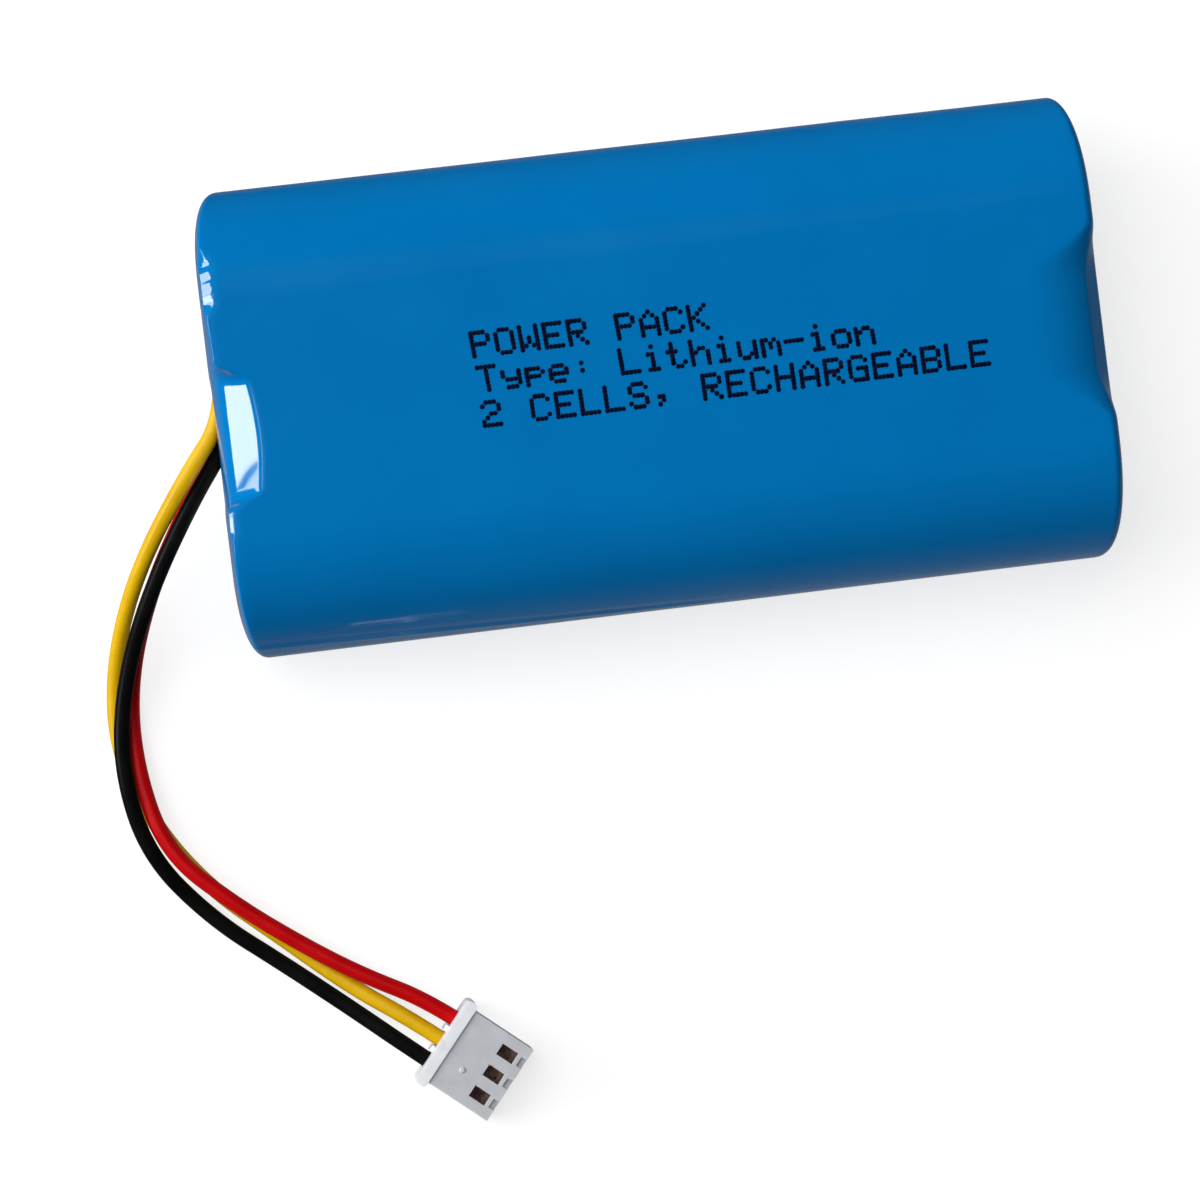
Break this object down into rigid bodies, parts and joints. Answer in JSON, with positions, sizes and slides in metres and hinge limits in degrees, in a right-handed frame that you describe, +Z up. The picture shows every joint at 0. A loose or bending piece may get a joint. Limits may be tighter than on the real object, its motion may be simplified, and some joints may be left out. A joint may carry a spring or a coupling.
{
  "type": "rechargeable battery pack",
  "caption": "Rechargeable lithium-ion pack: cylindrical cells side by side in a glossy blue shrink sleeve, with a protection board inside and coloured leads to a small white crimp plug.",
  "frame": {"origin": "middle of the sleeve's underside, on the surface that the pack lies on", "axes": "+X along the cells, away from the leads; +Y across the cells, away from the plug; +Z up"},
  "size_m": [0.0822, 0.0763, 0.0188],
  "materials": {
    "sleeve_film": "glossy blue shrink film",
    "insulating_board": "smooth pale insulating board",
    "foam": "closed-cell foam",
    "nickel": "rolled nickel strip",
    "amber_tape": "thin amber film",
    "clear_glue": "translucent glue",
    "circuit_board": "solder-masked glass laminate",
    "gold_pad": "gold flash",
    "chip_plastic": "moulded epoxy",
    "ceramic_tan": "fired chip body",
    "solder": "bright solder",
    "sensor_resin": "dipped resin",
    "plug_nylon": "natural white nylon, satin",
    "contact_bronze": "tin-flashed bronze",
    "lead_red": "smooth wire insulation",
    "lead_yellow": "smooth wire insulation",
    "lead_black": "smooth wire insulation",
    "steel_can": "nickel-plated steel",
    "cell_wrap": "thin shrink film",
    "paper_washer": "pressed paper",
    "aluminium": "rolled sheet",
    "gasket_plastic": "moulded plastic",
    "electrode": "wound foil and film"
  },
  "bodies": {
    "root": {"board_insulator": "insulating_board", "board_pads": "gold_pad", "capacitors": "ceramic_tan", "cell_a_bottom_insulator": "insulating_board", "cell_a_can": "steel_can", "cell_a_cap": "steel_can", "cell_a_centre_pin": "steel_can", "cell_a_electrode_roll": "electrode", "cell_a_gasket": "gasket_plastic", "cell_a_negative_tab": "nickel", "cell_a_positive_tab": "aluminium", "cell_a_ptc_ring": "sensor_resin", "cell_a_top_insulator": "insulating_board", "cell_a_vent_disc": "aluminium", "cell_a_washer": "paper_washer", "cell_a_weld_plate": "aluminium", "cell_a_wrap": "cell_wrap", "cell_b_bottom_insulator": "insulating_board", "cell_b_can": "steel_can", "cell_b_cap": "steel_can", "cell_b_centre_pin": "steel_can", "cell_b_electrode_roll": "electrode", "cell_b_gasket": "gasket_plastic", "cell_b_negative_tab": "nickel", "cell_b_positive_tab": "aluminium", "cell_b_ptc_ring": "sensor_resin", "cell_b_top_insulator": "insulating_board", "cell_b_vent_disc": "aluminium", "cell_b_washer": "paper_washer", "cell_b_weld_plate": "aluminium", "cell_b_wrap": "cell_wrap", "cell_glue": "clear_glue", "contact_black": "contact_bronze", "contact_red": "contact_bronze", "contact_yellow": "contact_bronze", "lead_black": "lead_black", "lead_end_insulator": "insulating_board", "lead_red": "lead_red", "lead_yellow": "lead_yellow", "negative_strip": "nickel", "plug_housing": "plug_nylon", "positive_strip": "nickel", "power_switch_legs": "solder", "power_switches": "chip_plastic", "protection_board": "circuit_board", "protection_chip": "chip_plastic", "protection_chip_legs": "solder", "rear_end_insulator": "insulating_board", "rear_foam_pad": "foam", "resistors": "chip_plastic", "return_strip": "nickel", "return_strip_tape": "amber_tape", "sleeve": "sleeve_film", "solder_joints": "solder", "thermistor_bead": "sensor_resin", "thermistor_legs": "solder"}
  },
  "joints": []
}
